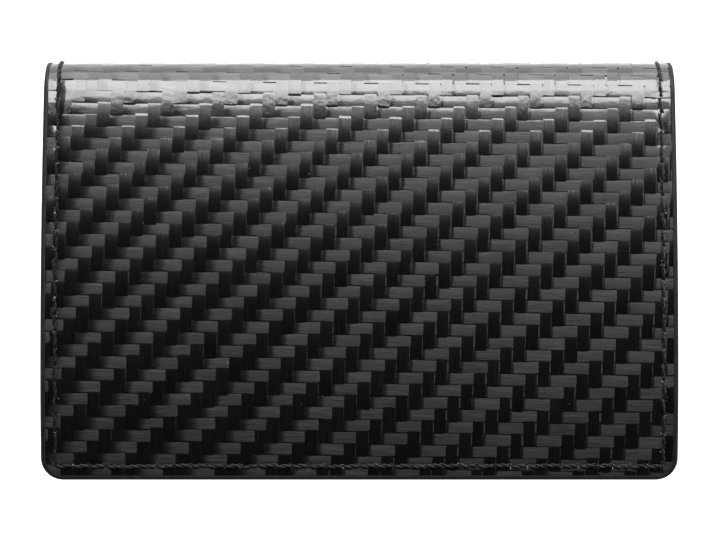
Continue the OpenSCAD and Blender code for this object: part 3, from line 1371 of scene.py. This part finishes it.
@dataclass
class Weave:
    """The two by two twill of tows on the outer face."""

    shell: Shell
    column: float = 2.03 * MM
    row: float = 1.93 * MM
    tuck: float = 0.3 * MM
    offset: tuple[float, float] = (0.01 * MM, 1.98 * MM)
    lean: tuple[float, float] = (0.027, -0.013)
    lean_from: float = 30.3 * MM
    ribbon_depth: float = 0.11 * MM
    ribbon_steps: int = 8
    ribbon_share: float = 0.8
    ribbon_thickness: float = 0.05 * MM
    stray: float = 0.035 * MM
    sway: float = math.radians(0.7)
    uneven_height: float = 0.008 * MM
    uneven_width: float = 0.015
    widest_gap: float = 0.3 * MM
    depth: float = 0.2 * MM
    lip: float = 0.035 * MM
    end_drop: float = 0.014 * MM
    side_drop: float = 0.006 * MM
    crowd: float = 1.9
    weft_gap: float = 0.16 * MM
    warp_gap: float = 0.01 * MM

    def pattern(self, length: float, width: float, gap: float) -> bpy.types.Object:
        """Model one float: the part of a tow that shows, dipping at its very ends.

        Args:
            length: length of the part that shows.
            width: width from one tow to the next.
            gap: how much narrower the tow is.

        Returns:
            The float, with its fibres along X.
        """
        clear_selection()
        bpy.ops.mesh.primitive_grid_add(x_subdivisions=8, y_subdivisions=4, size=1)
        tow = bpy.context.object
        open_mesh(tow)
        bpy.ops.mesh.extrude_region_move(TRANSFORM_OT_translate={"value": (0, 0, -self.depth)})
        bpy.ops.object.mode_set(mode="OBJECT")
        face_outwards(tow)
        points = points_of(tow)
        shown = length / 2
        reach = [0.0, shown * 0.6, shown - 4 * self.lip, shown - self.lip, shown + self.tuck]
        steps = np.linspace(0, 1, len(reach))
        x = np.sign(points[:, 0]) * np.interp(np.abs(2 * points[:, 0]), steps, reach)
        y = np.sign(points[:, 1]) * (1 - (1 - np.abs(2 * points[:, 1])) ** self.crowd) * (width - gap) / 2
        end = np.clip((np.abs(x) - shown + self.lip) / (self.tuck + self.lip), 0, 1)
        side = np.abs(2 * y / (width - gap)) ** 5
        z = points[:, 2] - self.end_drop * end - self.side_drop * side
        set_points(tow, np.column_stack([x, y, z]))
        mesh = tow.data
        mark(mesh, "lengthwise", x / shown)
        mark(mesh, "crosswise", 2 * y / width)
        unroll(mesh)
        return tow

    def wander(self, x: float, y: float) -> tuple[float, float]:
        """Return how far the tows wander sideways at a place."""
        across = 0.09 * MM * math.sin(x / (21 * MM) + 1.1) * math.sin(y / (17 * MM) + 0.4)
        along = 0.08 * MM * math.sin(x / (15 * MM) + 2.3) * math.cos(y / (24 * MM))
        return across, along

    def column_gap(self, column: int) -> float:
        """Return how much narrower than its place one warp tow is."""
        return self.widest_gap * float(np.random.default_rng(900 + column).random()) ** 0.5

    def places(self, weft: bool) -> list[Place]:
        """Return one place for each float of the weft or the warp."""
        outline = self.shell.outline
        columns = math.ceil(outline.half_width / self.column) + 2
        rows = math.ceil(outline.end / self.row) + 2
        chance = np.random.default_rng(31 if weft else 32)
        made = []
        for row in range(-3, rows):
            for column in range(-columns, columns):
                phase = (column - row) % 4
                if weft and phase == 0:
                    made.append(self.placer(column + 1, row + 0.5, 0.0, chance))
                if not weft and phase == 3:
                    made.append(self.placer(column + 0.5, row + 1, math.pi / 2, chance))
        return [place for place in made if place is not None]

    def placer(self, column: float, row: float, turn: float, chance: np.random.Generator) -> Place | None:
        """Return the function that lays a float with its middle at a column and row."""
        x = column * self.column + self.offset[0]
        y = row * self.row + self.offset[1]
        dx, dy = self.wander(x, y)
        dx += self.lean[0] * (y - self.lean_from)
        dy += self.lean[1] * x
        turn += -self.lean[0] if turn > 0 else self.lean[1]
        dx += chance.normal(0, self.stray)
        dy += chance.normal(0, self.stray)
        turn += chance.normal(0, self.sway)
        drop = abs(chance.normal(0, self.uneven_height))
        size = chance.normal(1, self.uneven_width)
        if turn > 1:
            share = smoothstep(np.array(x / (50 * MM) + 0.45))
            size -= self.column_gap(math.floor(column)) / self.column * share
        outline = self.shell.outline
        reach = 3 * self.column
        if abs(x) > outline.half_width + reach or not -reach < y < outline.end + reach:
            return None

        def place(points: np.ndarray) -> np.ndarray:
            """Lay one float."""
            along = points[:, 0]
            across = points[:, 1] * size
            made_x = x + dx + along * math.cos(turn) - across * math.sin(turn)
            made_y = y + dy + along * math.sin(turn) + across * math.cos(turn)
            return np.column_stack([made_x, made_y, points[:, 2] - drop])

        return place

    def build(self) -> None:
        """Weave the cloth, trim it, dent it along the seam and wrap it."""
        shell = self.shell
        sorts = (
            ("weft", True, 2 * self.column, self.row, self.weft_gap, shell.finishes.weft),
            ("warp", False, 2 * self.row, self.column, self.warp_gap, shell.finishes.warp),
        )
        for title, weft, length, width, gap, material in sorts:
            pattern = self.pattern(length, width, gap)
            flat = repeated(title, pattern, self.places(weft))
            discard(pattern)
            self.finish_cloth(flat, title, material)
        self.build_ribbons()

    def build_ribbons(self) -> None:
        """Lay the weft's tows where they pass under the warp, which show between two warp tows."""
        shell = self.shell
        side = shell.outline.half_width - shell.edge_width
        ribbon = block("ribbon", (-0.5, -0.5, -0.5), (0.5, 0.5, 0.5))
        score(ribbon, Axis.X, [n / self.ribbon_steps - 0.5 for n in range(1, self.ribbon_steps)])
        mesh = ribbon.data
        size = (2 * side + 2 * MM, self.row * self.ribbon_share, self.ribbon_thickness)
        points = points_of(ribbon) * size
        set_points(ribbon, points)
        mark(mesh, "lengthwise", points[:, 0] * 0)
        mark(mesh, "crosswise", points[:, 0] * 0)
        unroll(mesh)

        def placer(row: int) -> Place:
            """Return the function that lays the ribbon of a row."""

            def place(points: np.ndarray) -> np.ndarray:
                """Lay one ribbon."""
                y = points[:, 1] + (row + 0.5) * self.row + self.offset[1] + self.lean[1] * points[:, 0]
                return np.column_stack([points[:, 0], y, points[:, 2] - self.ribbon_depth])

            return place

        rows = range(-2, math.ceil(shell.outline.end / self.row) + 1)
        flat = repeated("ribbons", ribbon, [placer(row) for row in rows])
        discard(ribbon)
        self.finish_cloth(flat, "weft_under", shell.finishes.weft_under)

    def finish_cloth(self, flat: bpy.types.Object, title: str, material: bpy.types.Material) -> None:
        """Trim a sort of tow, dent it along the seam and wrap it."""
        shell = self.shell
        self.trim_to_outline(flat)
        self.shift_shade(flat)
        points = points_of(flat)
        points[:, 2] -= shell.dent(points)
        set_points(flat, points)
        shell.lay(flat, f"skin_{title}", Layer.SKIN, material, "carbon", -shell.skin)

    def shift_shade(self, flat: bpy.types.Object) -> None:
        """Slide each float's fibres by its own amount, so that no two match."""
        mesh = flat.data
        shade = np.empty(len(mesh.vertices), dtype=np.float32)
        mesh.attributes["shade"].data.foreach_get("value", shade)
        corner = np.empty(len(mesh.loops), dtype=np.int64)
        mesh.loops.foreach_get("vertex_index", corner)
        uv = np.empty(len(mesh.loops) * 2, dtype=np.float32)
        mesh.uv_layers[0].data.foreach_get("uv", uv)
        uv = uv.reshape(-1, 2) + np.column_stack([shade[corner] * 97, shade[corner] * 41])
        mesh.uv_layers[0].data.foreach_set("uv", uv.ravel())

    def trim_to_outline(self, flat: bpy.types.Object) -> None:
        """Trim the cloth to the outline inside the painted edge."""
        shell = self.shell
        side = shell.outline.half_width - shell.edge_width
        trim(flat, (side, 0, 0), (1, 0, 0))
        trim(flat, (-side, 0, 0), (-1, 0, 0))
        trim(flat, (0, shell.edge_width, 0), (0, -1, 0))
        trim(flat, (0, shell.outline.end - shell.edge_width, 0), (0, 1, 0))
        shell.outline.trim_corners(flat, shell.edge_width)
        shell.score_seam(flat)


# ---------------------------------------------------------------- slots and pocket


@dataclass
class SlipSlots:
    """Two stepped slip slots inside the front cover."""

    shell: Shell
    leather: float = 0.7 * MM
    room: float = 0.4 * MM
    rim: float = 2.2 * MM
    mouth_seam: float = 2.0 * MM

    def build(self) -> None:
        """Make both slots, from the cover inwards."""
        top = -self.shell.thickness
        for name in ("slot_rear", "slot_front"):
            mouth = self.shell.profile.front_way_at(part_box(name)[1][1])
            self.build_slot(name, mouth, top)
            top -= self.room + self.leather

    def build_slot(self, name: str, mouth: float, top: float) -> None:
        """Make one slot.

        Args:
            name: its CAD node.
            mouth: way round to its mouth.
            top: height of the face that it is sewn to.
        """
        shell = self.shell
        ways = [w for w in shell.wrapper.scores() if w < mouth]
        side = shell.profile.half_width - shell.edge_width
        back = top - self.room
        sheet = block(name + "_leather", (-side, shell.edge_width, back - self.leather), (side, mouth, back))
        outline = Outline(shell.profile.half_width, 0.0, mouth)
        outline.trim_corners(sheet, shell.edge_width, square_end=True)
        score(sheet, Axis.Y, [*ways, mouth - 0.9 * MM, mouth - 0.65 * MM, mouth - 0.4 * MM, mouth - 0.2 * MM])
        points = points_of(sheet)
        inner = points[:, 2] < back - self.leather / 2
        near = np.clip((mouth - points[:, 1]) / (0.4 * MM), 0, 1)
        roll = 0.3 * MM * (1 - np.sqrt(1 - (1 - near) ** 2))
        crease = 0.09 * MM * np.exp(-(((mouth - points[:, 1] - 0.75 * MM) / (0.16 * MM)) ** 2))
        points[:, 2] += np.where(inner, roll + crease, -roll * 0.6)
        set_points(sheet, points)
        shell.wrapper.fit(sheet, shell.wrapper.spans[0], back - self.leather)
        dress(sheet, shell.finishes.leather, "leather", name)
        edge = shell.bead(name + "_edge", outline, top + 0.02 * MM, back - self.leather - 0.03 * MM, True)
        score(edge, Axis.Y, ways)
        face_outwards(edge)
        shell.wrapper.fit(edge, shell.wrapper.spans[0], back - self.leather)
        dress(edge, shell.finishes.edge, "edge_paint")
        for side_sign in (-1, 1):
            low_x, high_x = sorted((side_sign * side, side_sign * (side - self.rim)))
            hand = "left" if side_sign < 0 else "right"
            low = (low_x, shell.edge_width + shell.outline.corner, back)
            strip = block(f"{name}_rim_{hand}", low, (high_x, mouth - 0.5 * MM, top))
            score(strip, Axis.Y, ways)
            shell.wrapper.fit(strip, shell.wrapper.spans[0], back)
            dress(strip, shell.finishes.leather, "leather")
        low = (-side + self.rim, shell.edge_width, back)
        foot = block(name + "_rim_foot", low, (side - self.rim, self.rim, top))
        shell.wrapper.fit(foot, shell.wrapper.spans[0], back)
        dress(foot, shell.finishes.leather, "leather")
        self.build_threads(name, mouth, back - self.leather)

    def build_threads(self, name: str, mouth: float, face: float) -> None:
        """Sew the row at the mouth, and the cover's seam where it comes through the slot."""
        shell = self.shell
        end = shell.profile.half_width - shell.seam_inset - 0.5 * MM
        row = shell.seam.row((-end, mouth - self.mouth_seam), (end, mouth - self.mouth_seam))
        stitched = shell.seam.sew(name + "_mouth_seam", row, face - 0.02 * MM, 11)
        shell.wrapper.fit(stitched, shell.wrapper.spans[0], face)
        dress(stitched, shell.finishes.yarn, "thread", "slot_thread")
        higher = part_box("slot_front")[1][1] if name == "slot_rear" else None
        low = shell.profile.front_way_at(higher) if higher is not None else 0.0
        through = [s for s in shell.seam_runs() if low <= s.y < mouth - 0.6 * MM]
        sewn = shell.seam.sew(name + "_side_seam", through, face - 0.02 * MM, 12)
        shell.wrapper.fit(sewn, shell.wrapper.spans[0], face)
        dress(sewn, shell.finishes.yarn, "thread")


@dataclass
class Pocket:
    """The gusseted pocket on the back cover."""

    shell: Shell
    cloth: float = 0.25 * MM
    leather: float = 0.8 * MM
    flange_end: float = 3.1 * MM
    rise_end: float = 6.7 * MM
    mouth_seam: float = 2.0 * MM
    gusset_wall: float = 0.45 * MM

    def raise_to(self, points: np.ndarray, low: float, high: float) -> np.ndarray:
        """Lift flat work from the sewn flange to the pocket's full height."""
        free = self.shell.profile.free_y
        share = smoothstep((points[:, 1] - free - self.flange_end) / (self.rise_end - self.flange_end))
        lifted = points.copy()
        lifted[:, 2] += low + (high - low) * share
        return lifted

    def sheet(self, name: str, node: str, thickness: float, material: bpy.types.Material, slot: str) -> None:
        """Make the pocket's leather panel or its cloth, bending where it is sewn down."""
        low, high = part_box(node)
        flat = block(name, (low[0], low[1], 0), (high[0], high[1], thickness))
        corner = Outline(high[0], low[1], high[1] + 20 * MM, self.shell.outline.corner)
        corner.trim_corners(flat, 0.0, square_end=True)
        step = 0.45 * MM
        rise = [low[1] + step * n for n in range(1, int(self.rise_end / step) + 2)]
        mouth = [high[1] - part * MM for part in (0.15, 0.35, 0.6, 0.85, 1.1)]
        score(flat, Axis.Y, [*rise, *mouth])
        points = points_of(flat)
        top = points[:, 2] > thickness / 2
        near = np.clip((high[1] - points[:, 1]) / (0.4 * MM), 0, 1)
        roll = 0.4 * thickness * (1 - np.sqrt(1 - (1 - near) ** 2))
        crease = 0.1 * thickness * np.exp(-(((high[1] - points[:, 1] - 0.85 * MM) / (0.2 * MM)) ** 2))
        points[:, 2] += np.where(top, -roll - crease, roll)
        set_points(flat, self.raise_to(points, low[2], high[2] - thickness))
        self.bend(flat)
        smooth(flat)
        dress(flat, material, slot, node)

    def bend(self, piece: bpy.types.Object) -> None:
        """Let a piece follow the back cover at its sewn edge and the pocket above it."""
        free = self.shell.profile.free_y
        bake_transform(piece, "back", "pocket", start=(0, free + self.shell.seam_inset, 0),
                 end=(0, free + self.rise_end, 0))

    def gusset(self, side: int) -> None:
        """Make one gusset: a strip of leather folded inwards, open towards the mouth."""
        name = "gusset_left" if side < 0 else "gusset_right"
        low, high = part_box(name)
        outer = high[0] if side > 0 else low[0]
        inner = low[0] if side > 0 else high[0]
        clear_selection()
        bpy.ops.mesh.primitive_grid_add(x_subdivisions=14, y_subdivisions=24, size=1)
        strip = bpy.context.object
        strip.name = name + "_leather"
        points = points_of(strip)
        share = points[:, 0] + 0.5
        depth = 1 - np.abs(2 * share - 1)
        fold_in = np.sqrt(np.clip(1 - (1 - depth) ** 2.6, 0, 1)) * 0.5 + depth * 0.5
        wall = self.gusset_wall / 2
        x = outer + (inner - outer) * fold_in * 0.94
        z = low[2] + wall + (high[2] - low[2] - 2 * wall) * share
        y = low[1] + (high[1] - low[1]) * (points[:, 1] + 0.5)
        set_points(strip, np.column_stack([x, y, z]))
        take(strip)
        thick = strip.modifiers.new("wall", "SOLIDIFY")
        thick.thickness = self.gusset_wall
        thick.offset = 0.0
        bpy.ops.object.modifier_apply(modifier=thick.name)
        face_outwards(strip)
        smooth(strip, 60)
        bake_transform(strip, "back", "pocket", start=(0, 0, low[2]), end=(0, 0, high[2]))
        dress(strip, self.shell.finishes.leather, "leather", name)

    def build(self) -> None:
        """Make the pocket."""
        finishes = self.shell.finishes
        self.sheet("pocket_leather", "pocket_panel", self.leather, finishes.leather, "leather")
        self.sheet("pocket_cloth", "pocket_lining", self.cloth, finishes.cloth, "cloth")
        for side in (-1, 1):
            self.gusset(side)
        self.sew()

    def sew(self) -> None:
        """Sew the row at the mouth and the row at the sewn edge."""
        seam = self.shell.seam
        low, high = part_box("pocket_panel")
        end = high[0] - self.shell.seam_inset
        y = high[1] - self.mouth_seam
        mouth = seam.sew("pocket_mouth_seam", seam.row((-end, y), (end, y)), 0.0, 21)
        foot_y = self.shell.profile.free_y + self.shell.seam_inset
        foot = seam.sew("pocket_foot_seam", seam.row((-end, foot_y), (end, foot_y)), 0.0, 22)
        for piece, height in ((mouth, high[2]), (foot, low[2] + self.leather)):
            points = points_of(piece)
            points[:, 2] += height
            set_points(piece, points)
            smooth(piece)
            dress(piece, self.shell.finishes.yarn, "thread")
        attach(mouth, "pocket")
        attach(foot, "back")
        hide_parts("pocket_thread")


# ---------------------------------------------------------------- studio


@dataclass
class Studio:
    """A pale table, one large soft light beyond the fold, and a camera straight above."""

    paper: bpy.types.Material
    eye_height: float = 417 * MM
    aim: tuple[float, float] = (0.1 * MM, -0.13 * MM)
    lens: float = 126.6
    table_height: float = -0.3 * MM
    box_distance: float = 1.0
    box_shift: float = 0.22
    soft_box: tuple[float, float, float, float] = (0.9, 0.63, math.radians(44.6), 23.0)
    back_panel: tuple[float, float, float, float] = (2.2, 0.6, math.radians(79.5), 14.0)
    horizon: float = 1.0
    zenith: float = 0.0

    def build(self) -> None:
        """Set up the table, the light, the surroundings and the camera."""
        self.build_table()
        self.build_light("soft_box", *self.soft_box)
        self.build_light("back_panel", *self.back_panel)
        self.build_world()
        self.build_camera()
        bpy.context.scene.view_settings.view_transform = "Standard"

    def build_table(self) -> None:
        """Lay the paper under the wallet."""
        clear_selection()
        bpy.ops.mesh.primitive_plane_add(size=12, location=(0, 0, self.table_height))
        table = bpy.context.object
        table.name = "table"
        bpy.ops.object.transform_apply(location=True, rotation=True, scale=True)
        table.data.materials.append(self.paper)
        table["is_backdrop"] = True

    def build_light(self, name: str, width: float, height: float, tilt: float, power: float) -> None:
        """Hang a flat light beyond the fold, turned to the wallet.

        Args:
            name: its name.
            width: its width.
            height: its height.
            tilt: angle of its middle from straight above.
            power: its power in watts.
        """
        place = Vector((0.0, math.sin(tilt), math.cos(tilt))) * self.box_distance
        light = bpy.data.lights.new(name, "AREA")
        light.shape = "RECTANGLE"
        light.size = width
        light.size_y = height
        light.energy = power
        lamp = bpy.data.objects.new(name, light)
        lamp.location = place + Vector((self.box_shift, 0.0, 0.0))
        lamp.rotation_mode = "QUATERNION"
        lamp.rotation_quaternion = (-place).to_track_quat("-Z", "Y")
        bpy.context.collection.objects.link(lamp)

    def build_world(self) -> None:
        """Surround the table with light that is bright at the horizon and dark overhead."""
        world = bpy.data.worlds.new("studio")
        bpy.context.scene.world = world
        world.use_nodes = True
        tree = world.node_tree
        background = tree.nodes["Background"]
        where = tree.nodes.new("ShaderNodeTexCoord")
        parts = tree.nodes.new("ShaderNodeSeparateXYZ")
        tree.links.new(where.outputs["Generated"], parts.inputs[0])
        level = tree.nodes.new("ShaderNodeMapRange")
        level.interpolation_type = "SMOOTHSTEP"
        level.inputs[1].default_value = 0.05
        level.inputs[2].default_value = 0.7
        level.inputs[3].default_value = self.horizon
        level.inputs[4].default_value = self.zenith
        tree.links.new(parts.outputs[2], level.inputs[0])
        tree.links.new(level.outputs[0], background.inputs["Strength"])
        background.inputs["Color"].default_value = (1, 1, 1, 1)

    def build_camera(self) -> None:
        """Put the camera straight above the wallet."""
        lens = bpy.data.cameras.new("camera")
        lens.lens = self.lens
        lens.clip_start = 10 * MM
        camera = bpy.data.objects.new("camera", lens)
        camera.location = (*self.aim, self.eye_height)
        bpy.context.collection.objects.link(camera)
        bpy.context.scene.camera = camera


def corners(box: tuple[Vector, Vector]) -> list[list[float]]:
    """Return a box as plain lists of numbers."""
    return [[float(part) for part in corner] for corner in box]


def main(cad_box: list[list[float]]) -> None:
    """Build the wallet and the studio round it.

    Args:
        cad_box: the CAD model's lowest and highest corners.
    """
    logging.basicConfig(level=logging.INFO, format="%(name)s: %(message)s")
    finishes = Finishes()
    profile = Profile.from_frame()
    wrapper = Wrapper(profile, spans_of(profile))
    Studio(finishes.paper).build()
    shell = Shell(profile, wrapper, finishes, Seam())
    shell.build_inner_layers()
    shell.build_edge()
    shell.build_seam()
    Weave(shell).build()
    SlipSlots(shell).build()
    Pocket(shell).build()
    {"cad": cad_box, "visual": corners(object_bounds())}


if __name__ == "__main__":
    main(corners(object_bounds()))
